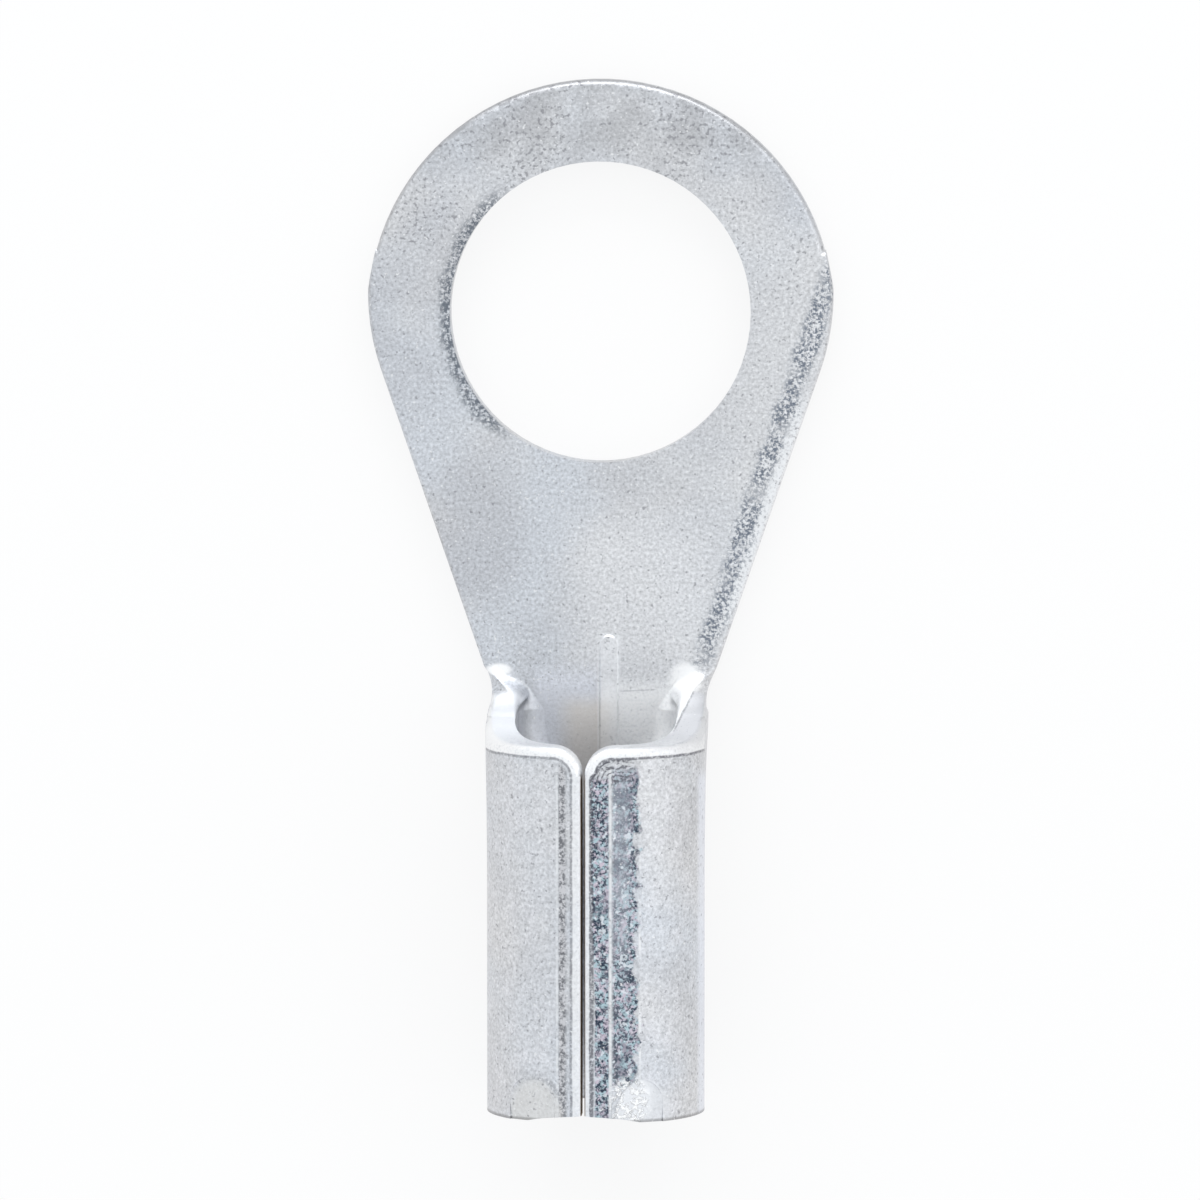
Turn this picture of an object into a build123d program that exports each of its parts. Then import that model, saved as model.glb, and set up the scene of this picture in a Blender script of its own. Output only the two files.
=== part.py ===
"""
Butted-seam ring terminal, for a stripped cable end and a threaded stud.

It is one stamping of plated copper sheet. The front stays flat as a ring for the stud. Behind it
the ears are folded up and rolled until their edges butt along the top, which makes the barrel
that is crimped onto the wire.

X runs across the terminal, Y from the wire end towards the ring's tip, Z up from the underside.
The origin is the centre of the stud hole, on the underside. Lengths are in millimetres and
angles in degrees. Distances along the terminal are measured back from the stud hole.
"""

from build123d import *
from math import asin, atan2, cos, degrees, radians, sin, sqrt, tan
import os

# Sheet
sheet_thickness = 1.0
edge_rounding = 0.25
fold_edge_rounding = 0.22
fold_inner_rounding = 0.05

# Ring and tongue
stud_hole_diameter = 10.2
ring_diameter = 15.74
shoulder_diameter = 15.76
shoulder_lead = 0.6
shoulder_step_angle = 15.5
flank_angle = 19.1

# Fold between the flat tongue and the barrel
fold_start = 12.0
fold_length = 1.5
floor_start_width = 5.8
floor_end_width = 3.8
lip_start = 0.5
lip_drop = 0.2

# Coined rib on the floor
rib_width = 0.67
rib_height = 0.08
rib_chamfer = 0.06
rib_offset = 0.3
rib_start = 10.95
rib_end = 16.0

# Barrel, rolled round from the ears and slightly wider at its mouth
barrel_diameter = 7.34
mouth_flare = 0.1
barrel_start = 14.15
barrel_end = 26.8
round_start = 18.5
floor_turn = 20.0

# Ears and their butted seam
ear_straight_drop = 1.24
ear_front_bow = 4.25
ear_corner_radius = 0.95
seam_gap = 0.1
seam_offset = 0.25

# Wire end of the barrel
end_notch_width = 3.8
end_notch_depth = 0.25
end_dent_angle = 30.0
end_dent_width = 1.86
end_dent_length = 1.5
end_dent_depth = 0.18
end_dent_rise = 0.1

# Sections drawn along the fold and along the mouth of the barrel
fold_section_count = 6
mouth_section_count = 6


def mouth_share(distance):
    """How far a section still is from round: 1 where the fold ends, easing down to 0."""
    mouth_length = round_start - fold_start - fold_length
    along = (min(distance, round_start) - fold_start - fold_length) / mouth_length
    return 1 - along * along * (3 - 2 * along)


def barrel_radius(distance):
    """Outer radius, which eases from the mouth to the round length."""
    return (barrel_diameter + mouth_share(distance) * mouth_flare) / 2


def spread(start, end, count):
    """Evenly spread distances, both ends included."""
    return [start + (end - start) * index / (count - 1) for index in range(count)]


def face_edges(steps, depth, side, distance):
    """One face of the bent sheet, at a depth inside its outer face, from the floor's middle out.

    A step is a turn with the outer face's radius, or no turn with a straight length.
    """
    edges = []
    x, z, heading = 0, depth, 0
    for turn, size in steps:
        start = Vector(side * x, -distance, z)
        if turn == 0:
            x += size * cos(radians(heading))
            z += size * sin(radians(heading))
            edges.append(Edge.make_line(start, Vector(side * x, -distance, z)))
            continue
        radius = size - depth
        centre_x = x - radius * sin(radians(heading))
        centre_z = z + radius * cos(radians(heading))
        half, full = radians(heading + turn / 2), radians(heading + turn)
        middle = Vector(side * (centre_x + radius * sin(half)), -distance, centre_z - radius * cos(half))
        x = centre_x + radius * sin(full)
        z = centre_z - radius * cos(full)
        edges.append(Edge.make_three_point_arc(start, middle, Vector(side * x, -distance, z)))
        heading += turn
    return edges


def flank_half_width(distance):
    """Half the tongue's width where its straight flanks run in towards the barrel."""
    reach = shoulder_diameter / 2 - (distance + shoulder_lead) * sin(radians(flank_angle))
    return reach / cos(radians(flank_angle))


def blank_half():
    """Right half of the flat blank: tip, shoulder and straight flank, down to the fold."""
    ring_radius, shoulder_radius = ring_diameter / 2, shoulder_diameter / 2
    step_y = ring_radius * sin(radians(shoulder_step_angle))
    ring_step = (sqrt(ring_radius**2 - step_y**2), step_y)
    shoulder_step = (sqrt(shoulder_radius**2 - (step_y - shoulder_lead) ** 2), step_y)
    flank_x = shoulder_radius * cos(radians(flank_angle))
    flank_top = (flank_x, shoulder_lead - shoulder_radius * sin(radians(flank_angle)))
    neck = (flank_half_width(fold_start), -fold_start)
    tip = CenterArc((0, 0), ring_radius, 90, shoulder_step_angle - 90)
    shoulder = RadiusArc(shoulder_step, flank_top, shoulder_radius)
    middle = Polyline(neck, (0, -fold_start), (0, ring_radius))
    return make_face(Curve() + [tip, Line(ring_step, shoulder_step), shoulder, Line(flank_top, neck), middle])


def tongue():
    """The flat ring and its flanks, with rolled edges and the stud hole."""
    half = blank_half()
    plate = extrude(half + mirror(half, about=Plane.YZ), sheet_thickness)
    levels = plate.edges().group_by(Axis.Z)
    rims = [edge for edge in levels[0] + levels[-1] if edge.center().Y > -fold_start + edge_rounding]
    plate = fillet(rims, edge_rounding)
    return plate - extrude(Circle(stud_hole_diameter / 2), sheet_thickness)


def fold_steps(distance):
    """Floor, bend and lip of the fold, whose sides lift from flat to upright."""
    along = (distance - fold_start) / fold_length
    eased = along * along * (3 - 2 * along)
    turn = 90 * eased
    floor = (floor_start_width + along * (floor_end_width - floor_start_width)) / 2
    lip = lip_start + (floor_end_width / 2 - lip_drop - lip_start) * along**2
    start_width, end_width = flank_half_width(fold_start), barrel_radius(fold_start + fold_length)
    running_in = fold_length * along * (1 - along) ** 2 * tan(radians(flank_angle))
    half_width = start_width + (end_width - start_width) * eased - running_in
    if turn == 0:
        return [(0, floor), (0, half_width - floor - lip), (0, lip)]
    bend_radius = (half_width - floor - lip * cos(radians(turn))) / sin(radians(turn))
    return [(0, floor), (turn, bend_radius), (0, lip)]


def lip_height():
    """Height of the fold's upright sides where the barrel takes over."""
    (_, _), (_, bend_radius), (_, lip) = fold_steps(fold_start + fold_length)
    return bend_radius + lip


def ear_straight_height():
    """Height from which the front edges of the ears stand straight."""
    return 2 * barrel_radius(barrel_start) - ear_straight_drop


def ear_front_slope():
    """Slope at which the front edges leave the fold, bowed out from the straight line up."""
    rise = ear_straight_height() - lip_height()
    return degrees(atan2(rise, barrel_start - fold_start - fold_length)) - ear_front_bow


def lip_edges(steps, side, distance):
    """One half of the fold's section, from the floor's underside round its rounded lip to its top."""
    along = (distance - fold_start) / fold_length
    skew = (1 - along) / cos(radians(flank_angle)) + along / cos(radians(ear_front_slope()))
    inner_rounding = fold_edge_rounding + along * (fold_inner_rounding - fold_edge_rounding)
    *bend, (_, lip) = steps
    faces, corners = [], []
    for depth, rounding in ((0, fold_edge_rounding), (sheet_thickness, inner_rounding)):
        corners.append(face_edges(steps, depth, side, distance)[-1] @ 1)
        faces.append(face_edges([*bend, (0, lip - rounding * skew)], depth, side, distance))
    across = (corners[1] - corners[0]).normalized()
    low, high = corners[0] + across * fold_edge_rounding, corners[1] - across * inner_rounding
    outer_round = Edge.make_bezier(faces[0][-1] @ 1, corners[0], low)
    inner_round = Edge.make_bezier(high, corners[1], faces[1][-1] @ 1)
    return [*faces[0], outer_round, Edge.make_line(low, high), inner_round, *faces[1][::-1]]


def fold_section(distance):
    """Section of the fold square to its length, symmetric about the middle of the floor."""
    right, left = (lip_edges(fold_steps(distance), side, distance) for side in (1, -1))
    return Wire([*right, *left[::-1]])


def fold():
    """The sides of the sheet curling up, from flat at the tongue to upright at the barrel."""
    distances = spread(fold_start, fold_start + fold_length, fold_section_count)
    return Solid.make_loft([fold_section(distance) for distance in distances])


def barrel_steps(distance):
    """Floor, bend and side of the barrel's lower half: a flat floor at the mouth, then round."""
    radius, flatness = barrel_radius(distance), mouth_share(distance)
    turn = floor_turn * (1 - flatness)
    floor_reach = floor_end_width / 2 * flatness + radius * sin(radians(floor_turn)) * (1 - flatness)
    if turn == 0:
        return [(0, floor_reach), (90, radius - floor_reach), (0, floor_reach)]
    floor_radius = floor_reach / sin(radians(turn))
    across, up = sin(radians(turn)), cos(radians(turn))
    bend_radius = (radius - floor_radius * (1 + across - up)) / (up - across)
    return [(turn, floor_radius), (90 - 2 * turn, bend_radius), (turn, floor_radius)]


def barrel_section(distance, depth):
    """One face of the rolled barrel, at a depth inside its outer face."""
    right, left = (face_edges(barrel_steps(distance), depth, side, distance) for side in (1, -1))
    crest = Vector(0, -distance, 2 * barrel_radius(distance) - depth)
    top = Edge.make_three_point_arc(right[-1] @ 1, crest, left[-1] @ 1)
    return Wire([*right, top, *left[::-1]])


def filled_barrel(depth):
    """Everything inside one face of the barrel, from the fold to the wire end."""
    mouth = spread(fold_start + fold_length, round_start, mouth_section_count)
    flat_to_round = Solid.make_loft([barrel_section(distance, depth) for distance in mouth])
    radius = barrel_diameter / 2
    start = Plane(origin=(0, -round_start, radius), x_dir=(1, 0, 0), z_dir=(0, -1, 0))
    return flat_to_round.fuse(Solid.make_cylinder(radius - depth, barrel_end - round_start, start))


def ear_front_trim():
    """Space ahead of the ears, whose front edges lean back and then stand straight."""
    fold_end = (-fold_start - fold_length, lip_height())
    straight = (-barrel_start, ear_straight_height())
    slope = radians(ear_front_slope())
    front = Spline(fold_end, straight, tangents=((-cos(slope), sin(slope)), (0, 1)))
    above, ahead = 2 * barrel_diameter, fold_end[0] + sheet_thickness
    rest = Polyline(straight, (-barrel_start, above), (ahead, above), (ahead, fold_end[1]), fold_end)
    return extrude(Plane.YZ * make_face(front + rest), barrel_diameter, both=True)


def seam_trim():
    """Gap between the butted edges, which opens into round corners at the front."""
    reach = ear_corner_radius + seam_gap / 2
    corner_y = -barrel_start - ear_corner_radius
    gap = Pos(-seam_offset, -barrel_end) * Rectangle(seam_gap, 2 * (barrel_end - barrel_start))
    corners = Rectangle(2 * reach, ear_corner_radius, align=(Align.CENTER, Align.MIN))
    corners = Pos(-seam_offset, corner_y) * corners
    for side in (1, -1):
        corners -= Pos(-seam_offset + side * reach, corner_y) * Circle(ear_corner_radius)
    return Pos(0, 0, barrel_diameter / 2) * extrude(gap + corners, barrel_diameter)


def end_notch():
    """Shallow hollow where the rear edges of the two ears meet."""
    radius = (end_notch_width**2 / 4 + end_notch_depth**2) / (2 * end_notch_depth)
    notch = Pos(-seam_offset, -barrel_end + end_notch_depth - radius) * Circle(radius)
    return Pos(0, 0, barrel_diameter / 2) * extrude(notch, barrel_diameter)


def end_dent(side):
    """Space over the half-round dent that a punch left in one ear at the wire end."""
    radius, punch_radius = barrel_radius(barrel_end), end_dent_width / 2
    around = side * radians(end_dent_angle) - asin(seam_offset / radius)
    outward = Vector(sin(around), 0, cos(around))
    deepest = Vector(0, -barrel_end, radius) + outward * (radius - end_dent_depth)
    along = Vector(0, end_dent_length, 0) + outward * end_dent_rise
    bottom = Plane(origin=deepest, x_dir=along, z_dir=along.cross(outward.cross(along)))
    reach = end_dent_length - punch_radius
    outline = Pos(reach, 0) * Circle(punch_radius)
    outline += Pos(reach, 0) * Rectangle(end_dent_length, end_dent_width, align=(Align.MAX, Align.CENTER))
    return bottom * extrude(outline, sheet_thickness)


def ear_edges(tube):
    """Outer edges of the ears, along their fronts, round their corners and down the seam."""

    def on_outer_face(point):
        radius = barrel_radius(-point.Y)
        return abs(Vector(point.X, 0, point.Z - radius).length - radius) < seam_gap / 10

    def at_seam(point):
        return abs(point.X + seam_offset) < seam_gap

    def at_front(point):
        return point.Y > -barrel_start - ear_corner_radius - seam_gap

    def wanted(edge):
        points = [edge @ share for share in (0, 0.25, 0.5, 0.75, 1)]
        if not all(on_outer_face(point) and point.Z > lip_height() - seam_gap for point in points):
            return False
        return all(at_seam(point) for point in points) or all(at_front(point) for point in points)

    return [edge for edge in tube.edges() if wanted(edge)]


def barrel():
    """The rolled barrel with its trimmed ears, rounded seam and pressed wire end."""
    tube = filled_barrel(0).cut(filled_barrel(sheet_thickness), ear_front_trim(), seam_trim())
    tube = fillet(ear_edges(tube), edge_rounding)
    return tube - end_notch() - end_dent(1) - end_dent(-1)


def rib():
    """Low rib coined into the floor, from the tongue into the barrel."""
    length = rib_end - rib_start
    outline = Pos(rib_offset, -rib_start - length / 2) * SlotOverall(length, rib_width, 90)
    bar = extrude(outline, sheet_thickness / 2 + rib_height)
    bar = chamfer(bar.edges().group_by(Axis.Z)[-1], rib_chamfer)
    return Pos(0, 0, sheet_thickness / 2) * bar


terminal = tongue().fuse(fold(), barrel(), rib())

os.makedirs("parts", exist_ok=True)
export_step(terminal, "parts/ring_terminal.step")
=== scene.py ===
import math
import bmesh
import bpy
from mathutils import Matrix, Vector, noise


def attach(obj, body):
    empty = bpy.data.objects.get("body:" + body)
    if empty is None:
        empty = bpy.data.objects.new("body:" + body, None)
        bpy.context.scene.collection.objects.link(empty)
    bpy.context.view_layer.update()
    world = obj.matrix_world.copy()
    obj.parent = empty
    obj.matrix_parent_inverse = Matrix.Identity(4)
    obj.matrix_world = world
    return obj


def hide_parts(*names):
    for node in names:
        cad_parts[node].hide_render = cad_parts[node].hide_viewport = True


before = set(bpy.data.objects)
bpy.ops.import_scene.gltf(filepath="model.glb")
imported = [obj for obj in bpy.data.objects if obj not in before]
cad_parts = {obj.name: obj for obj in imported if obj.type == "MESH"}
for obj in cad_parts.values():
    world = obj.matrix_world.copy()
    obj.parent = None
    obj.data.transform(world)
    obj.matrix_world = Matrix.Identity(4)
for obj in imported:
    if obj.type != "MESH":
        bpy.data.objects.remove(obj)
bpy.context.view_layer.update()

# The terminal: one stamping of copper sheet, folded and rolled until its ears butt. Its surfaces
# come from the CAD solid. The flats that the rolling tool pressed beside the seam, the ripple
# that it left on them, and the wear on the shoulders' steps are worked in here. In millimetres.
MM = 0.001
BARREL_RADIUS = 3.67
MOUTH_FLARE = 0.05
FOLD_END, ROUND_START, BARREL_REAR = -13.5, -18.5, -26.8
SEAM_MIDDLE = -0.25
CORNER_X, CORNER_Y, CORNER_RADIUS = 0.75, -15.1, 0.95
EAR_FRONT, SKIN_FRONT = -14.15, -14.4
SKIN_DEPTH = 0.03
COARSE_TURN, COARSE_STEP, FINE_STEP = 3.0, 0.6, 0.1
FLAT_REAR = -25.9
SIDE_FADE, REAR_FADE, FRONT_FADE = 0.09, 0.5, (0.3, 0.55)
TOOL_FLATS = (
    {"low": -1.06, "high": -0.65, "depth": 0.012, "rough": 0.006},
    {"low": -0.02, "high": 0.70, "depth": 0.020, "rough": 0.013},
    {"low": 0.77, "high": 1.63, "depth": 0.024, "rough": 0.010},
)
RIPPLE_SIZE, RIPPLE_STRETCH = 0.17, 0.8
RING_RADIUS = 7.87
SHOULDER_LOW, SHOULDER_FULL, SHOULDER_TOP = 0.6, 1.4, 2.11
SHOULDER_WEAR = 0.8
EDGE_ROUNDING = 0.31
SEAM_EDGE_TURN = (0.4, 1.0)
LEFT_STEP_EDGE, LEFT_STEP_LOW, LEFT_STEP_HIGH, LEFT_STEP_UNDER = -7.3, 1.8, 2.12, 0.7
LEFT_STEP_TURN = (1.0, 0.25)
MERGE_REACH, CUT_REACH = 1e-7, 1e-8

cad_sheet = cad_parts["ring_terminal"].data
sheet = cad_sheet.copy()
sheet.name = "tinned_terminal"
kept_normals = sheet.attributes.new("kept_normal", "FLOAT_VECTOR", "CORNER")
cad_normals = [value for corner in cad_sheet.corner_normals for value in corner.vector]
kept_normals.data.foreach_set("vector", cad_normals)

work = bmesh.new()
work.from_mesh(sheet)
bmesh.ops.remove_doubles(work, verts=work.verts, dist=MERGE_REACH)


def barrel_radius(along):
    """Outer radius of the barrel, which is a little wider at its mouth."""
    share = min(max((along - ROUND_START) / (FOLD_END - ROUND_START), 0), 1)
    return BARREL_RADIUS + MOUTH_FLARE * share * share * (3 - 2 * share)


def off_axis(point):
    """Distance from the barrel's axis in millimetres, and the angle from its top."""
    across, up = point.x / MM, point.z / MM - barrel_radius(point.y / MM)
    return math.hypot(across, up), math.atan2(across, up)


def on_skin(point):
    """Whether a point lies on the upper half of the barrel's outer face, behind its mouth."""
    (reach, turn), along = off_axis(point), point.y / MM
    near = abs(reach - barrel_radius(along)) < SKIN_DEPTH
    return near and abs(turn) < math.pi / 2 and along < SKIN_FRONT


def skin_between(low, high):
    """Faces of that skin between two distances from the middle."""
    return [
        face
        for face in work.faces
        if low <= face.calc_center_median().x / MM <= high and all(on_skin(vert.co) for vert in face.verts)
    ]


def slice_skin(point, direction, low=-BARREL_RADIUS, high=BARREL_RADIUS):
    """Divides those faces where a plane crosses them."""
    faces = skin_between(low, high)
    edges = {edge for face in faces for edge in face.edges}
    verts = {vert for face in faces for vert in face.verts}
    parts = [*faces, *edges, *verts]
    bmesh.ops.bisect_plane(work, geom=parts, plane_co=point, plane_no=direction, dist=CUT_REACH)


def steps(low, high, step):
    """Evenly spaced values between two limits, no further apart than a step."""
    count = math.ceil((high - low) / step)
    return [low + (high - low) * index / count for index in range(count + 1)]


def ease(value, low, high):
    """Rises smoothly from 0 at one limit to 1 at the other."""
    share = min(max((value - low) / (high - low), 0), 1)
    return share * share * (3 - 2 * share)


def behind_ear_front(across, along):
    """How far a point of the skin lies behind the ears' front edge, round their corners too."""
    inward = CORNER_X - SEAM_MIDDLE - abs(across - SEAM_MIDDLE)
    if inward > 0 and along > CORNER_Y:
        return CORNER_RADIUS - math.hypot(inward, along - CORNER_Y)
    return EAR_FRONT - along


def pressed_depth(across, along):
    """How deep the rolling tool pressed the skin in, with the ripple that it left."""
    for flat in TOOL_FLATS:
        inside = min(across - flat["low"], flat["high"] - across)
        if inside <= 0:
            continue
        window = ease(inside, 0, SIDE_FADE) * ease(behind_ear_front(across, along), *FRONT_FADE)
        window *= ease(along, FLAT_REAR, FLAT_REAR + REAR_FADE)
        middle = math.asin((flat["low"] + flat["high"]) / 2 / BARREL_RADIUS)
        half = math.asin(flat["high"] / BARREL_RADIUS) - middle
        turn = math.asin(across / BARREL_RADIUS) - middle
        sagitta = BARREL_RADIUS * (1 - math.cos(half) / math.cos(turn))
        spot = Vector((across, along * RIPPLE_STRETCH, flat["low"])) / RIPPLE_SIZE
        ripple = noise.fractal(spot, 1.0, 2.0, 3)
        return window * (sagitta + flat["depth"] + flat["rough"] * ripple)
    return 0


def turned_up(face, shares):
    """Keeps only these shares of the level parts of a face's kept normals."""
    for loop in face.loops:
        normal = loop[normal_layer]
        loop[normal_layer] = Vector((normal.x * shares[0], normal.y * shares[1], normal.z)).normalized()


for vert in work.verts:
    across, along = vert.co.x / MM, vert.co.y / MM
    if SHOULDER_LOW < along < SHOULDER_TOP:
        beyond = max(abs(across) - math.sqrt(RING_RADIUS**2 - along**2), 0)
        worn = beyond * SHOULDER_WEAR * ease(along, SHOULDER_LOW, SHOULDER_FULL)
        vert.co.x -= math.copysign(worn, across) * MM

axis_point = Vector((0, 0, BARREL_RADIUS * MM))
for turn in steps(-90 + COARSE_TURN, 90 - COARSE_TURN, COARSE_TURN):
    slice_skin(axis_point, Vector((math.cos(math.radians(turn)), 0, -math.sin(math.radians(turn)))))
for along in steps(BARREL_REAR + COARSE_STEP, SKIN_FRONT - COARSE_STEP, COARSE_STEP):
    slice_skin(Vector((0, along * MM, 0)), Vector((0, 1, 0)))
for flat in TOOL_FLATS:
    low, high = flat["low"], flat["high"]
    for across in steps(low, high, FINE_STEP):
        slice_skin(Vector((across * MM, 0, 0)), Vector((1, 0, 0)), low - FINE_STEP, high + FINE_STEP)
flats_low, flats_high = TOOL_FLATS[0]["low"], TOOL_FLATS[-1]["high"]
for along in steps(FLAT_REAR, SKIN_FRONT, FINE_STEP):
    slice_skin(Vector((0, along * MM, 0)), Vector((0, 1, 0)), flats_low, flats_high)

skin = set(skin_between(-BARREL_RADIUS, BARREL_RADIUS))
pressed = {}
for vert in {vert for face in skin for vert in face.verts}:
    (reach, turn), along = off_axis(vert.co), vert.co.y / MM
    radius = barrel_radius(along)
    depth = pressed_depth(vert.co.x / MM, along) if abs(turn) < math.pi / 4 else 0
    pressed[vert] = depth
    target = radius - depth
    vert.co.x = math.sin(turn) * target * MM
    vert.co.z = (radius + math.cos(turn) * target) * MM
work.normal_update()
normal_layer = work.loops.layers.float_vector["kept_normal"]
for face in skin:
    for loop in face.loops:
        vert = loop.vert
        around = [near for near in vert.link_faces if near in skin]
        if pressed[vert] or any(pressed[corner] for near in around for corner in near.verts):
            leaning = sum((near.normal * near.calc_area() for near in around), Vector())
            loop[normal_layer] = leaning.normalized()
        else:
            _, turn = off_axis(vert.co)
            loop[normal_layer] = Vector((math.sin(turn), 0, math.cos(turn)))
for face in work.faces:
    centre = face.calc_center_median() / MM
    on_top = centre.z > 2 * BARREL_RADIUS - EDGE_ROUNDING
    if on_top and abs(centre.x - SEAM_MIDDLE) < EDGE_ROUNDING and centre.y < CORNER_Y:
        turned_up(face, SEAM_EDGE_TURN)
    at_step = centre.x < LEFT_STEP_EDGE and LEFT_STEP_LOW < centre.y < LEFT_STEP_HIGH
    if at_step and centre.z > LEFT_STEP_UNDER:
        turned_up(face, LEFT_STEP_TURN)
work.to_mesh(sheet)
work.free()
kept_normals = sheet.attributes["kept_normal"]
corner_normals = [tuple(Vector(item.vector).normalized()) for item in kept_normals.data]
sheet.attributes.remove(kept_normals)
sheet.normals_split_custom_set(corner_normals)

terminal = bpy.data.objects.new("tinned_terminal", sheet)
bpy.context.scene.collection.objects.link(terminal)
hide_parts("ring_terminal")
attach(terminal, "root")


# The finish is matte electroplated tin: a pale grey skin with a fine grain, faint clouds,
# pits and bright specks, worn coarse where the tools pressed it. Its colour also holds painted
# light: painted shade in dark bands on the tool's flats and beside the flank and the hole, and
# painted highlights and shade on edges, folds, the rib and the floor inside the mouth. A mark's
# place is given in millimetres, as its low end, high end and blur across, then along.
COOL_TIN, WARM_TIN = (0.62, 0.642, 0.678, 1), (0.655, 0.657, 0.668, 1)
CLOUD_GREY, TIP_GREY, TONGUE_GREY = (0.49, 0.495, 0.52), (0.44, 0.445, 0.46), (0.48, 0.485, 0.51)
PALE_NECK, EAR_PAINTED_LIGHT, PALE_SIDE = (0.75, 0.755, 0.77), (0.74, 0.745, 0.765), (0.73, 0.735, 0.745)
FLOOR_PAINTED_HIGHLIGHT, FLOOR_PAINTED_SHADE, BARREL_MOTTLE = (0.99, 0.995, 1.0), (0.79, 0.81, 0.87), (0.80, 0.80, 0.83)
NECK = ((-0.8, 4.0, 1.2), (-12.6, -7.0, 1.2))
LEFT_EAR_TOP = (-3.75, -1.3, 0.35)
TONGUE_CLOUD = ((-4.2, -7.5), (1.6, 2.4), 0.5)
FLOOR_RIGHT = ((-0.08, 3.0, 0.08), (-17.0, -12.6, 0.5))
FLOOR_LEFT = ((-2.2, -0.08, 0.3), (-17.0, -12.2, 0.5))
MOUTH = ((-2.9, 2.9, 0.3), (-17.5, -12.7, 0.4))
METRE = 1000


def place(tree, kind, feeds, **settings):
    """A node with its settings. Each feed is a plain value or another node's output."""
    made = tree.nodes.new(kind)
    for name, value in settings.items():
        setattr(made, name, value)
    for socket, value in feeds.items():
        if isinstance(value, bpy.types.NodeSocket):
            tree.links.new(value, made.inputs[socket])
        else:
            made.inputs[socket].default_value = value
    return made


def figure(tree, operation, *values):
    """The result of a sum on values or outputs."""
    return place(tree, "ShaderNodeMath", dict(enumerate(values)), operation=operation).outputs[0]


def blend(tree, share, first, second, blend_type="MIX"):
    """A colour between two others."""
    feeds = {0: share, 6: first, 7: second}
    return place(tree, "ShaderNodeMix", feeds, data_type="RGBA", blend_type=blend_type).outputs[2]


def ramp(tree, value, low, high, first=0.0, last=1.0):
    """A smooth rise or fall between two values."""
    feeds = {"Value": value, "From Min": low, "From Max": high, "To Min": first, "To Max": last}
    return place(tree, "ShaderNodeMapRange", feeds, interpolation_type="SMOOTHSTEP").outputs[0]


def group_tree(name, inputs, outputs):
    """An empty node group with its named sockets, and its two end nodes."""
    tree = bpy.data.node_groups.new(name, "ShaderNodeTree")
    for label, kind in inputs.items():
        tree.interface.new_socket(label, in_out="INPUT", socket_type=kind)
    for label, kind in outputs.items():
        tree.interface.new_socket(label, in_out="OUTPUT", socket_type=kind)
    return tree, tree.nodes.new("NodeGroupInput").outputs, tree.nodes.new("NodeGroupOutput").inputs


FLOAT, VECTOR = "NodeSocketFloat", "NodeSocketVector"
STRIP_SOCKETS = ("Value", "Low", "High", "Blur")
strip, given, result = group_tree("strip", dict.fromkeys(STRIP_SOCKETS, FLOAT), {"Mask": FLOAT})
sides = []
for side, first, last in (("Low", 0.0, 1.0), ("High", 1.0, 0.0)):
    start = figure(strip, "SUBTRACT", given[side], given["Blur"])
    end = figure(strip, "ADD", given[side], given["Blur"])
    sides.append(ramp(strip, given["Value"], start, end, first, last))
strip.links.new(figure(strip, "MULTIPLY", *sides), result["Mask"])

grain_sockets = {"Place": VECTOR, "Fineness": FLOAT, "Contrast": FLOAT}
grain, given, result = group_tree("plated_grain", grain_sockets, {"Shade": FLOAT, "Height": FLOAT})
feeds = {"Vector": given["Place"], "Scale": given["Fineness"], "Detail": 3.0, "Roughness": 0.6}
fine = place(grain, "ShaderNodeTexNoise", feeds).outputs[0]
centred = figure(grain, "SUBTRACT", fine, 0.5)
grain.links.new(figure(grain, "MULTIPLY_ADD", centred, given["Contrast"], 1.0), result["Shade"])
grain.links.new(fine, result["Height"])

tin = bpy.data.materials.new("matte_tin_plate")
tin.use_nodes = True
tree = tin.node_tree
shader = tree.nodes["Principled BSDF"]
coordinates = place(tree, "ShaderNodeTexCoord", {})
feeds = {"Vector": coordinates.outputs["Object"], "Scale": (METRE, METRE, METRE)}
spot = place(tree, "ShaderNodeMapping", feeds).outputs[0]
x, y, z = place(tree, "ShaderNodeSeparateXYZ", {0: spot}).outputs
facing = place(tree, "ShaderNodeSeparateXYZ", {0: coordinates.outputs["Normal"]}).outputs[2]


def rises(value, low, high, first=0.0, last=1.0):
    """A smooth rise or fall of the plate's own values."""
    return ramp(tree, value, low, high, first, last)


def add(first, second):
    """The sum of two values or outputs."""
    return figure(tree, "ADD", first, second)


def less(first, second):
    """The first value less the second."""
    return figure(tree, "SUBTRACT", first, second)


def scaled(value, factor, offset):
    """A value times a factor, with an offset added."""
    return figure(tree, "MULTIPLY_ADD", value, factor, offset)


def times(*values):
    """The product of several values or outputs."""
    product = values[0]
    for value in values[1:]:
        product = figure(tree, "MULTIPLY", product, value)
    return product


def largest(*values):
    """The largest of several values or outputs."""
    most = values[0]
    for value in values[1:]:
        most = figure(tree, "MAXIMUM", most, value)
    return most


def masked(value, low, high, blur):
    """How far a value lies inside a strip with soft edges."""
    feeds = dict(zip(STRIP_SOCKETS, (value, low, high, blur)))
    return place(tree, "ShaderNodeGroup", feeds, node_tree=strip).outputs[0]


def window(across, along):
    """How far a point of the plan lies inside a box with soft edges."""
    return times(masked(x, *across), masked(y, *along))


def cloud(fineness, detail=3.0, rough=0.5):
    """Plain noise of one size over the plate."""
    feeds = {"Vector": spot, "Scale": fineness, "Detail": detail, "Roughness": rough}
    return place(tree, "ShaderNodeTexNoise", feeds).outputs[0]


def reach(vector):
    """The length of a vector output."""
    return place(tree, "ShaderNodeVectorMath", {0: vector}, operation="LENGTH").outputs["Value"]


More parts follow.
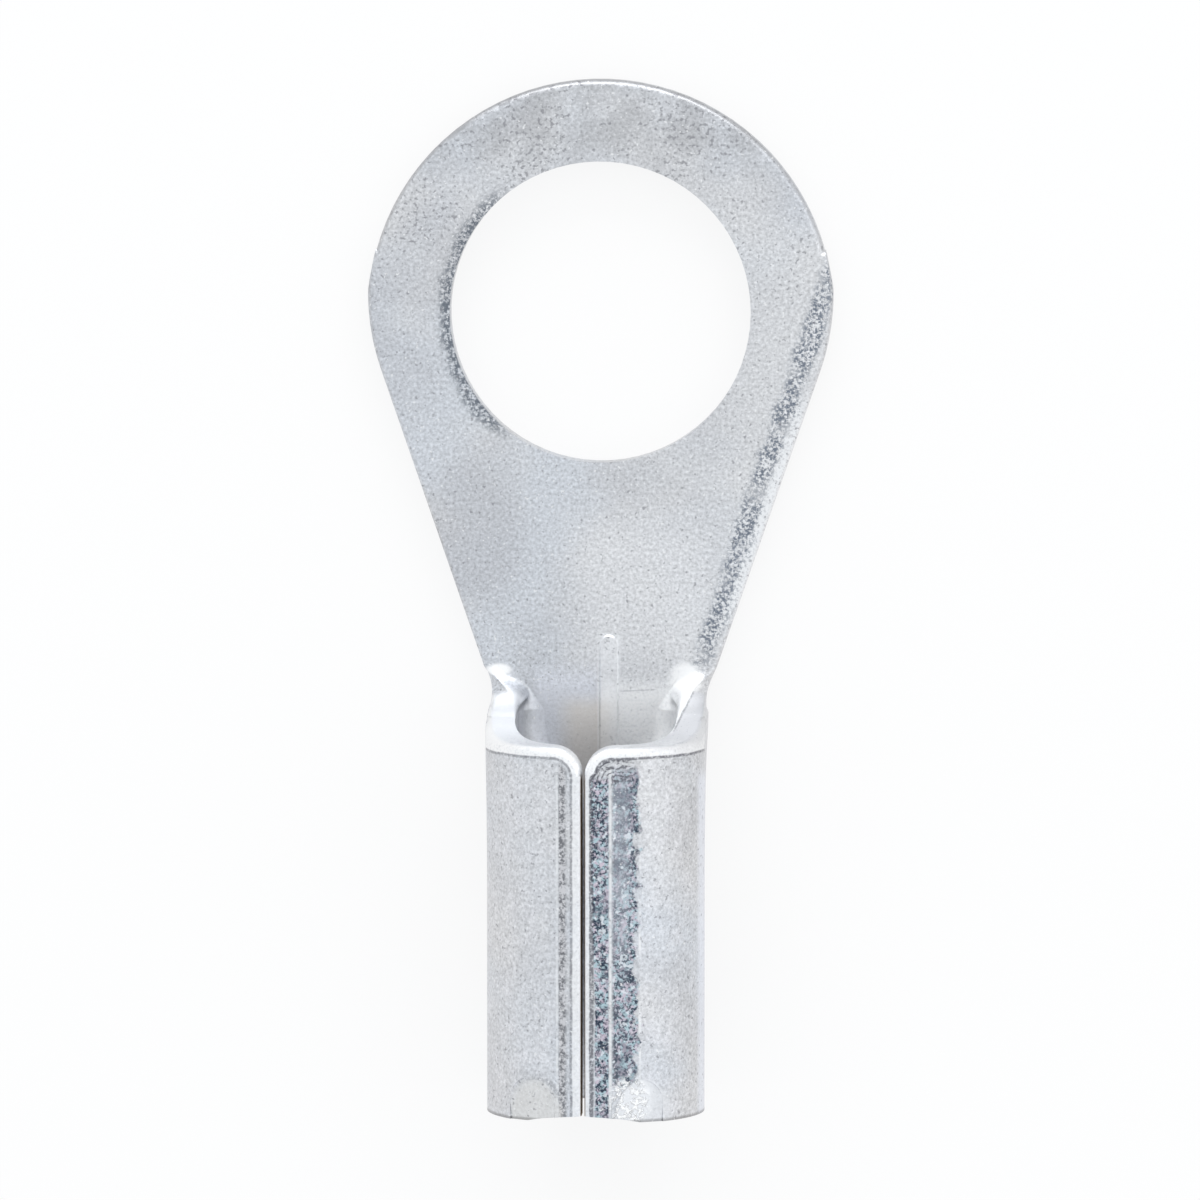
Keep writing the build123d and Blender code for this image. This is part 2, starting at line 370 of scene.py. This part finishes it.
def patch(centre, radii, soft=0.3):
    """How far a point of the plan lies inside an ellipse with a soft edge."""
    feeds = {0: flat_place, 1: (*centre, 0)}
    shifted = place(tree, "ShaderNodeVectorMath", feeds, operation="SUBTRACT").outputs[0]
    feeds = {0: shifted, 1: (*radii, 1)}
    shares = place(tree, "ShaderNodeVectorMath", feeds, operation="DIVIDE").outputs[0]
    return rises(reach(shares), 1 + soft, 1 - soft)


def painted(colour, *shares):
    """The plate with a colour laid over it by the product of some shares."""
    return blend(tree, times(*shares), plate, (*colour, 1))


wander = scaled(cloud(1.3), 0.5, -0.25)
feeds = {"Place": spot, "Fineness": 9.0, "Contrast": 1.15}
skin_grain = place(tree, "ShaderNodeGroup", feeds, node_tree=grain).outputs
coarse = cloud(10.5, 3.0, 0.7)
flat_place = place(tree, "ShaderNodeCombineXYZ", {0: x, 1: y}).outputs[0]
level = times(rises(z, 1.4, 1.2), rises(z, 0.6, 0.85))
upward = rises(facing, 0.05, 0.3)
above = times(rises(z, 4.5, 5.0), rises(facing, 0.6, 0.8))

# how far a point of the barrel's top lies from the ears' outline, seam edges and corners included
SEAM_FACE, OUTLINE_WANDER = 0.02, 0.12
from_seam = figure(tree, "ABSOLUTE", less(x, SEAM_MIDDLE))
corner_x = largest(less(CORNER_X - SEAM_MIDDLE, from_seam), 0.0)
corner_y = largest(less(y, CORNER_Y), 0.0)
corner_place = place(tree, "ShaderNodeCombineXYZ", {0: corner_x, 1: corner_y}).outputs[0]
ear_gap = add(less(CORNER_RADIUS, reach(corner_place)), times(wander, OUTLINE_WANDER))
right_ear = rises(x, SEAM_MIDDLE - SEAM_FACE, SEAM_MIDDLE + SEAM_FACE)
left_ear = less(1.0, right_ear)

# colour of the plate, with its faint clouds and its paler and greyer patches; painted light on the barrel's
# upper left side, and a painted highlight and painted shade on the floor inside the mouth
plate = blend(tree, rises(cloud(0.21, 2.0), 0.35, 0.65), COOL_TIN, WARM_TIN)
plate = painted(CLOUD_GREY, rises(cloud(0.33, 4.0, 0.55), 0.42, 0.68, 0.0, 0.40))
plate = painted(TIP_GREY, rises(y, 4.2, 6.2), rises(cloud(0.8, 4.0, 0.6), 0.35, 0.6), 0.6)
plate = painted(PALE_NECK, window(*NECK), level, 0.75)
# painted light: the barrel's upper left side is painted paler
plate = painted(EAR_PAINTED_LIGHT, masked(x, *LEFT_EAR_TOP), rises(z, 3.7, 4.2), rises(y, -14.2, -15.2), 0.45)
plate = painted(TONGUE_GREY, patch(*TONGUE_CLOUD), level, 0.5)
plate = painted(PALE_SIDE, rises(x, 2.5, 5.0), masked(y, -10.0, 3.0, 1.5), level, 0.45)
near_floor = times(rises(z, 2.8, 2.0), upward)
# a painted highlight on the right part of the floor inside the mouth, and bluish painted shade on its left
# part
plate = painted(FLOOR_PAINTED_HIGHLIGHT, window(*FLOOR_RIGHT), near_floor, 0.95)
plate = painted(FLOOR_PAINTED_SHADE, window(*FLOOR_LEFT), near_floor, 0.75)
plate = painted(BARREL_MOTTLE, rises(cloud(1.4, 4.0, 0.6), 0.46, 0.68, 0.0, 0.3), rises(z, 1.5, 2.5))
mouth = times(window(*MOUTH), near_floor)
plate = blend(tree, scaled(mouth, -0.5, 1.0), plate, skin_grain["Shade"], "MULTIPLY")

# painted shade in coarse worn bands: inside the right flank, left of the hole, and on the tool's flats;
# painted highlights on the right flank's rounded edge and on the ridges between the flats
FLANK_REACH, FLANK_COSINE, FLANK_SINE = 7.88, 0.945, 0.327
FLANK_BAND, FLANK_LENGTH = (0.34, 1.02, 0.16), (-12.2, 3.6, 0.5)
BRIGHT_BAND, BRIGHT_LENGTH = (-0.2, 0.36, 0.1), (-10.5, -3.0, 0.8)
HOLE_BAND, HOLE_SIDE, HOLE_LENGTH = (5.28, 5.68), (-2.7, -3.7), (-4.3, 4.1, 0.8)
SEAM_BAND, OUTER_BAND, LEFT_BAND = (-0.06, 0.62, 0.035), (0.74, 1.56, 0.09), (-1.06, -0.68, 0.04)
MIDDLE_RIDGE, OUTER_RIDGE, LEFT_RIDGE = (0.635, 0.715, 0.03), (1.60, 1.68, 0.03), (-1.15, -1.08, 0.03)
PALE_STRIPE = (0.7, 1.3, 0.25)
FLANK_SHADE, HOLE_SHADE = (0.13, 0.16, 0.21), (0.12, 0.14, 0.17)
FLANK_FLECK, FLANK_HIGHLIGHT, RIDGE_HIGHLIGHT = (0.85, 0.86, 0.88), (0.88, 0.89, 0.90), (0.86, 0.87, 0.88)
GREEN_FLECK, PINK_FLECK, DEEP_BLUE = (0.46, 0.60, 0.65, 1), (0.63, 0.56, 0.64, 1), (0.045, 0.06, 0.09, 1)
SLATE, BLOTCH, SPARK = (0.50, 0.53, 0.58, 1), (0.11, 0.13, 0.17, 1), (0.74, 0.78, 0.82, 1)
DARK_GREY, LIGHT_GREY = (0.20, 0.205, 0.22, 1), (0.64, 0.64, 0.66, 1)
edge_gap = less(FLANK_REACH, less(times(x, FLANK_COSINE), times(less(y, SHOULDER_LOW), FLANK_SINE)))
flank_gap = add(scaled(wander, 1.1, edge_gap), rises(y, -6.0, -11.0, 0.0, 0.16))
worn_and_shaded_flank = times(masked(flank_gap, *FLANK_BAND), masked(y, *FLANK_LENGTH), level)
worn_and_shaded_flank = times(worn_and_shaded_flank, rises(cloud(0.9), 0.30, 0.52, 0.45, 1.0))
flank_edge_highlight = times(masked(edge_gap, *BRIGHT_BAND), masked(y, *BRIGHT_LENGTH), level)
near_hole = rises(add(reach(flat_place), wander), *HOLE_BAND, 1.0, 0.0)
shaded_hole_band = times(near_hole, rises(x, *HOLE_SIDE), masked(y, *HOLE_LENGTH), level)
seam_foot = rises(y, -26.75, -26.5)
seam_side_end = rises(add(ear_gap, rises(y, -24.0, -17.0, 0.0, 0.14)), 0.32, 0.40)
worn_and_shaded_seam_side = times(masked(x, *SEAM_BAND), above, seam_side_end, seam_foot)
worn_and_shaded_seam_side = times(worn_and_shaded_seam_side, rises(scaled(wander, 0.8, y), -15.0, -15.25))
outer_edge = scaled(less(cloud(2.4, 4.0, 0.6), 0.5), rises(x, 1.0, 1.5, 0.0, 1.2), x)
worn_and_shaded_outer = times(masked(outer_edge, *OUTER_BAND), above, rises(ear_gap, 0.5, 0.9), rises(y, -25.7, -25.3))
worn_and_shaded_left = times(masked(x, *LEFT_BAND), above, rises(ear_gap, 0.42, 0.6), seam_foot)
speckle = rises(scaled(less(cloud(3.2), 0.5), 0.5, coarse), 0.40, 0.59)
tint = blend(tree, rises(cloud(6.0, 2.0), 0.40, 0.60), GREEN_FLECK, PINK_FLECK)
shaded_worn_skin = blend(tree, speckle, DEEP_BLUE, tint)
pale_part = times(masked(x, *PALE_STRIPE), rises(scaled(wander, 8.0, y), -22.0, -19.0, 0.12, 0.6))
shaded_worn_skin = blend(tree, pale_part, shaded_worn_skin, SLATE)
shaded_worn_skin = blend(tree, rises(cloud(1.5, 4.0, 0.65), 0.50, 0.64, 0.0, 0.5), shaded_worn_skin, BLOTCH)
shaded_worn_skin = blend(tree, rises(cloud(4.3, 2.0), 0.60, 0.68, 0.0, 0.8), shaded_worn_skin, SPARK)
shaded_worn_grey_skin = blend(tree, speckle, DARK_GREY, LIGHT_GREY)
# painted shade, broken by coarse noise: the dark bands inside the right flank and left of the hole
plate = painted(FLANK_SHADE, worn_and_shaded_flank, rises(coarse, 0.56, 0.43), 0.9)
plate = painted(FLANK_FLECK, worn_and_shaded_flank, rises(coarse, 0.54, 0.64), 0.6)
# painted highlight along the right flank's rounded edge
plate = painted(FLANK_HIGHLIGHT, flank_edge_highlight, rises(coarse, 0.35, 0.55), 0.8)
plate = painted(HOLE_SHADE, shaded_hole_band, rises(coarse, 0.60, 0.44), 0.9)
# painted shade on the tool's flats, with the speckles and tints of their worn skin
plate = blend(tree, largest(worn_and_shaded_seam_side, worn_and_shaded_outer), plate, shaded_worn_skin)
plate = blend(tree, worn_and_shaded_left, plate, shaded_worn_grey_skin)
# painted highlights along the ridges between the tool's flats
outer_ridge = times(masked(x, *OUTER_RIDGE), rises(cloud(1.7), 0.45, 0.6))
ridge_highlights = largest(masked(x, *MIDDLE_RIDGE), outer_ridge, times(masked(x, *LEFT_RIDGE), 0.7))
ridge_highlights = times(ridge_highlights, rises(cloud(2.1, 4.0, 0.6), 0.38, 0.56, 0.3, 1.0))
plate = painted(RIDGE_HIGHLIGHT, ridge_highlights, above, rises(ear_gap, 0.55, 0.8), rises(y, -26.3, -26.0), 0.85)

# the ears' rounded edges: a painted highlight, with a thin dark line behind them, streaks at the right
# corner, and painted shade in the seam's gap
FRONT_EDGE, RIGHT_SEAM_EDGE, LEFT_SEAM_EXTRA = 0.32, 0.17, 0.13
LINE_WIDTH, CORNER_EXTRA, CORNER_SPAN = 0.085, 0.07, (0.0, 1.3, 0.2)
STREAK_PATCH, STREAK_TURNS = ((0.5, -14.9), (0.95, 0.5), 0.25), 42.0
EDGE_HIGHLIGHT, LINE_DARK, STREAK_DARK = (0.98, 0.983, 0.987), (0.09, 0.09, 0.11), (0.12, 0.12, 0.14)
GAP_SHADE_BROWN = (0.24, 0.155, 0.075)
ear_top = times(rises(z, 3.9, 4.4), rises(y, -26.7, -26.5))
seam_edge = scaled(left_ear, LEFT_SEAM_EXTRA, RIGHT_SEAM_EDGE)
along_seam = rises(y, -14.9, -15.2)
past_edge = less(ear_gap, scaled(less(seam_edge, FRONT_EDGE), along_seam, FRONT_EDGE))
edge_highlight = times(ear_top, rises(past_edge, 0.03, -0.03))
duller = times(rises(coarse, 0.34, 0.54, 0.55, 1.0), rises(y, -15.3, -14.8, 0.6, 1.0))
# painted highlight along the ears' rounded edges
plate = painted(EDGE_HIGHLIGHT, edge_highlight, duller, rises(x, 0.8, 1.6, 1.0, 0.65))
line_end = add(LINE_WIDTH, times(masked(x, *CORNER_SPAN), CORNER_EXTRA))
dark_line = times(ear_top, masked(past_edge, 0.0, line_end, 0.02), rises(coarse, 0.66, 0.46))
plate = painted(LINE_DARK, dark_line, scaled(right_ear, 0.25, 0.5))
bent_gap = scaled(less(cloud(2.6), 0.5), 0.35, ear_gap)
waves = rises(figure(tree, "SINE", times(bent_gap, STREAK_TURNS)), 0.1, 0.8)
streaks = times(waves, patch(*STREAK_PATCH), ear_top, rises(past_edge, 0.02, 0.06), right_ear)
plate = painted(STREAK_DARK, streaks, rises(coarse, 0.62, 0.46), 0.85)
behind_corner = rises(y, -15.0, -15.3)
# painted shade: dark brown in the seam's gap, down to the bore's floor seen through it
gap_shade = times(rises(from_seam, 0.10, 0.06), behind_corner, largest(rises(z, 5.0, 5.5), upward))
plate = painted(GAP_SHADE_BROWN, gap_shade, 0.95)

# the fold: painted highlights on the cut faces, on the corners where the walls rise, along the right wall's
# inner edge and on the rib; a grey cut face on the right wall with painted shadow beside its edge; a warm
# stain on the floor; a scratch
FOLD_LENGTH = (-14.2, -12.2, 0.2)
RIGHT_CORNER, LEFT_CORNER = ((2.9, -12.45), (0.55, 0.55)), ((-3.45, -12.15), (0.42, 0.2))
STAIN = ((-1.2, 0.4, 0.5), (-16.5, -13.2, 0.4))
WALL_X, WALL_Y, WALL_COSINE, WALL_SINE = 3.55, -12.1, 0.887, -0.463
WALL_LENGTH, WALL_LINE, WALL_SHADOW = (-14.2, -12.15, 0.12), (-0.26, -0.02, 0.03), (0.0, 0.06, 0.02)
RIB = ((-0.10, 0.70, 0.03), (-16.0, -10.9, 0.06))
SCRATCH, SCRATCH_SPAN, SCRATCH_SLOPE = (-12.93, -12.89, 0.02), (0.7, 1.9, 0.1), -0.05
HIGHLIGHT_WHITE, FOLD_HIGHLIGHT, RIB_HIGHLIGHT = (1.0, 1.0, 1.0), (0.98, 0.985, 0.99), (0.93, 0.94, 0.96)
STAIN_WARM, CUT_GREY, CUT_DARK = (0.86, 0.78, 0.67), (0.71, 0.715, 0.73), (0.30, 0.30, 0.33)
SHADOW_DARK, SCRATCH_GREY = (0.15, 0.15, 0.17), (0.35, 0.35, 0.38)
# painted highlight on the cut faces where the walls rise
fold_highlight = times(masked(y, *FOLD_LENGTH), rises(z, 1.3, 1.9), rises(facing, 0.95, 0.88), upward)
plate = painted(FOLD_HIGHLIGHT, fold_highlight, rises(x, 0.2, 1.2, 0.9, 0.3), rises(x, 3.0, 2.7))
# painted highlights on the corners where the walls rise
corner_highlights = times(largest(patch(*RIGHT_CORNER), patch(*LEFT_CORNER)), upward)
plate = painted(HIGHLIGHT_WHITE, corner_highlights, rises(cloud(2.6, 4.0, 0.6), 0.35, 0.5, 0.7, 1.0))
plate = painted(STAIN_WARM, window(*STAIN), rises(z, 3.0, 2.5), upward, 0.5)
outward = add(times(less(x, WALL_X), WALL_COSINE), times(less(y, WALL_Y), WALL_SINE))
outward = scaled(wander, 0.12, outward)
right_wall = times(masked(y, *WALL_LENGTH), rises(z, 1.25, 1.7), rises(x, 0.9, 1.3), upward)
cut_face = largest(rises(outward, 0.0, 0.08), rises(y, -13.85, -13.95))
cut_face = times(right_wall, cut_face, rises(facing, 0.05, 0.2))
plate = painted(CUT_GREY, cut_face, 0.9)
plate = painted(CUT_DARK, cut_face, rises(coarse, 0.60, 0.70), 0.6)
along_wall = times(right_wall, rises(y, -13.95, -13.75))
# painted highlight along the right wall's inner edge, and painted shadow beside it
plate = painted(HIGHLIGHT_WHITE, along_wall, masked(outward, *WALL_LINE), 0.95)
plate = painted(SHADOW_DARK, along_wall, masked(outward, *WALL_SHADOW), rises(coarse, 0.62, 0.46), 0.6)
# painted highlight along the rib, stronger on its chamfer
rib = times(window(*RIB), rises(z, 1.6, 1.4), upward)
rib_shine = scaled(rises(facing, 0.99, 0.93), rises(y, -11.7, -11.2, 0.0, 0.12), 0.32)
plate = painted(RIB_HIGHLIGHT, rib, rib_shine)
scratch = masked(scaled(wander, 0.1, scaled(x, SCRATCH_SLOPE, y)), *SCRATCH)
plate = painted(SCRATCH_GREY, scratch, masked(x, *SCRATCH_SPAN), upward, 0.45)

# the dents at the barrel's end: pale and warm, with a bright burr over the right one
DENT_RADII = (0.95, 1.45)
LEFT_DENT, RIGHT_DENT = ((-1.85, -26.8), DENT_RADII, 0.2), ((1.75, -26.8), DENT_RADII, 0.06)
DENT_SHINE, BURR = ((1.5, -26.0), (0.6, 0.75)), ((1.28, -26.1), (0.62, 0.85), 0.25)
DENT_RIM = (0.1, 0.6, 0.1)
WARM_DENT, COOL_DENT, SHINE_WHITE = (0.77, 0.755, 0.72), (0.77, 0.78, 0.80), (0.90, 0.91, 0.93)
BURR_WHITE, RIM_DARK = (0.97, 0.97, 0.97), (0.20, 0.21, 0.24)
dent_left, dent_right = patch(*LEFT_DENT), patch(*RIGHT_DENT)
plate = painted(WARM_DENT, dent_left, above, 0.5)
plate = painted(COOL_DENT, dent_right, above, 0.6)
plate = painted(SHINE_WHITE, patch(*DENT_SHINE), dent_right, above, 0.5)
burr = times(patch(*BURR), rises(cloud(5.5, 3.0, 0.6), 0.47, 0.55), above)
plate = painted(BURR_WHITE, burr, 0.9)
right_rim = times(masked(dent_right, *DENT_RIM), rises(x, 1.9, 1.5), 0.4)
left_rim = times(masked(dent_left, *DENT_RIM), rises(x, -2.6, -1.6), 0.6)
plate = painted(RIM_DARK, add(right_rim, left_rim), rises(coarse, 0.60, 0.45), above, 0.7)

# painted shade on the plate's rounded rims, a painted reflection along the barrel's right side, a painted
# dark reflection along the barrel's rear edge, pits and specks
BLUE_SIDE, PITS_FINENESS, SPECKS_FINENESS = (3.50, 3.72, 0.07), 7.0, 8.3
RIM_SHADE_GREY, SIDE_REFLECTION_BLUE, REAR_EDGE_SHADE = (0.40, 0.405, 0.42), (0.88, 0.91, 0.99), (0.22, 0.21, 0.21)
PIT_DARK, SPECK_WHITE = (0.23, 0.23, 0.25), (0.92, 0.92, 0.92)
# painted shade on the plate's rounded rims, stronger towards the ring's tip
shaded_rims = times(level, rises(facing, 0.93, 0.74), rises(y, -3.0, 3.6))
plate = painted(RIM_SHADE_GREY, shaded_rims, rises(y, 4.0, 6.5, 0.45, 0.7))
# painted reflection: a pale bluish strip along the barrel's right side
plate = painted(SIDE_REFLECTION_BLUE, masked(x, *BLUE_SIDE), rises(z, 3.4, 3.9), rises(y, -15.0, -15.6), 0.55)
# painted dark reflection along the barrel's rear edge
plate = painted(REAR_EDGE_SHADE, rises(y, -26.66, -26.76, 0.0, 0.6))
clean = less(1.0, largest(fold_highlight, edge_highlight, corner_highlights, times(dent_right, 0.8), times(mouth, 0.7)))
ring_top = times(level, rises(y, -1.0, 4.0), rises(cloud(0.5), 0.42, 0.6))
pits = rises(scaled(ring_top, 0.08, cloud(PITS_FINENESS, 2.0)), 0.62, 0.72)
plate = painted(PIT_DARK, pits, clean, 0.65)
plate = painted(SPECK_WHITE, rises(cloud(SPECKS_FINENESS, 1.0), 0.69, 0.75), 0.6)
tree.links.new(plate, shader.inputs["Base Color"])

# roughness, and the height of the grain, the worn skin and the burr, in millimetres
PLAIN_ROUGHNESS, GRAIN_ROUGHNESS, WORN_ROUGHNESS = 0.42, 0.3, 0.1
GRAIN_HEIGHT, COARSE_HEIGHT, WORN_HEIGHT, BURR_HEIGHT = 0.006, 0.003, 0.02, 0.03
worn = figure(tree, "MINIMUM", add(add(worn_and_shaded_seam_side, worn_and_shaded_outer), add(worn_and_shaded_left, worn_and_shaded_flank)), 1.0)
roughness = scaled(less(skin_grain["Height"], 0.5), GRAIN_ROUGHNESS, PLAIN_ROUGHNESS)
tree.links.new(scaled(worn, WORN_ROUGHNESS, roughness), shader.inputs["Roughness"])
coarse_height = times(coarse, scaled(worn, WORN_HEIGHT, COARSE_HEIGHT))
height = scaled(burr, BURR_HEIGHT, add(times(skin_grain["Height"], GRAIN_HEIGHT), coarse_height))
height = times(height, scaled(mouth, -0.6, 1.0), MM)
bump = place(tree, "ShaderNodeBump", {"Height": height, "Distance": 1.0, "Strength": 1.0})
tree.links.new(bump.outputs[0], shader.inputs["Normal"])
shader.inputs["Metallic"].default_value = 1.0
sheet.materials.clear()
sheet.materials.append(tin)

# The studio: a sheet of white paper under a light tent, with a long soft lamp beyond the ring's
# tip and a weaker one at the right. Seen straight, the paper is white but for the shadow, and
# from below it can't be seen.
FLOOR_HALF, FLOOR_DROP = 1.5, 0.02 * MM
PAPER_SHADE, PAPER_ROUGHNESS, SHOWN_WHITE = 0.85, 0.9, 0.82
TENT_COLOUR, TENT_STRENGTH = (0.95, 0.975, 1.0, 1), 1.0
SOFTBOXES = (
    {"name": "tip_softbox", "at": (0.0, 0.40, 0.16), "size": (0.5, 0.16), "watts": 0.9},
    {"name": "side_softbox", "at": (0.42, 0.05, 0.22), "size": (0.3, 0.4), "watts": 0.15},
)

floor_shape = bmesh.new()
bmesh.ops.create_grid(floor_shape, x_segments=1, y_segments=1, size=FLOOR_HALF)
floor_sheet = bpy.data.meshes.new("studio_floor")
bmesh.ops.translate(floor_shape, verts=floor_shape.verts, vec=(0, 0, -FLOOR_DROP))
floor_shape.to_mesh(floor_sheet)
floor_shape.free()
floor = bpy.data.objects.new("studio_floor", floor_sheet)
bpy.context.scene.collection.objects.link(floor)
paper = bpy.data.materials.new("white_paper")
paper.use_nodes = True
nodes = paper.node_tree
lit = nodes.nodes["Principled BSDF"]
lit.inputs["Base Color"].default_value = (PAPER_SHADE, PAPER_SHADE, PAPER_SHADE, 1)
lit.inputs["Roughness"].default_value = PAPER_ROUGHNESS
shown = place(nodes, "ShaderNodeEmission", {"Color": (1, 1, 1, 1), "Strength": 1.0})
rays = place(nodes, "ShaderNodeLightPath", {}).outputs
seen = figure(nodes, "MAXIMUM", rays["Is Camera Ray"], rays["Is Glossy Ray"])
share = figure(nodes, "MULTIPLY", seen, SHOWN_WHITE)
mixed = place(nodes, "ShaderNodeMixShader", {0: share, 1: lit.outputs[0], 2: shown.outputs[0]})
behind = place(nodes, "ShaderNodeNewGeometry", {}).outputs["Backfacing"]
clear = place(nodes, "ShaderNodeBsdfTransparent", {}).outputs[0]
one_sided = place(nodes, "ShaderNodeMixShader", {0: behind, 1: mixed.outputs[0], 2: clear})
nodes.links.new(one_sided.outputs[0], nodes.nodes["Material Output"].inputs["Surface"])
floor_sheet.materials.append(paper)

world = bpy.data.worlds.new("light_tent")
bpy.context.scene.world = world
world.use_nodes = True
tent = world.node_tree.nodes["Background"]
tent.inputs["Color"].default_value = TENT_COLOUR
tent.inputs["Strength"].default_value = TENT_STRENGTH

for softbox in SOFTBOXES:
    lamp_data = bpy.data.lights.new(softbox["name"], "AREA")
    lamp_data.shape = "RECTANGLE"
    lamp_data.size, lamp_data.size_y = softbox["size"]
    lamp_data.energy = softbox["watts"]
    lamp = bpy.data.objects.new(softbox["name"], lamp_data)
    bpy.context.scene.collection.objects.link(lamp)
    lamp.location = softbox["at"]
    lamp.rotation_euler = Vector(softbox["at"]).to_track_quat("Z", "Y").to_euler()

# The camera looks down on the terminal, from slightly to the right and beyond its tip.
YAW, PITCH = math.radians(3.0), math.radians(5.3)
TARGET = (0.0, -9.77, 1.0)
DISTANCE = 0.35
PHOTO_WIDTH = 1200 * 0.0339 * MM

toward = Vector((math.sin(YAW), math.sin(PITCH), 1)).normalized()
camera_data = bpy.data.cameras.new("camera")
camera = bpy.data.objects.new("camera", camera_data)
bpy.context.scene.collection.objects.link(camera)
up = (Vector((0, 1, 0)) - toward * toward.y).normalized()
turn = Matrix((up.cross(toward), up, toward)).transposed()
camera.matrix_world = Matrix.Translation(Vector(TARGET) * MM + toward * DISTANCE) @ turn.to_4x4()
camera_data.lens = camera_data.sensor_width * DISTANCE / PHOTO_WIDTH
bpy.context.scene.camera = camera
bpy.context.scene.view_settings.view_transform = "Standard"
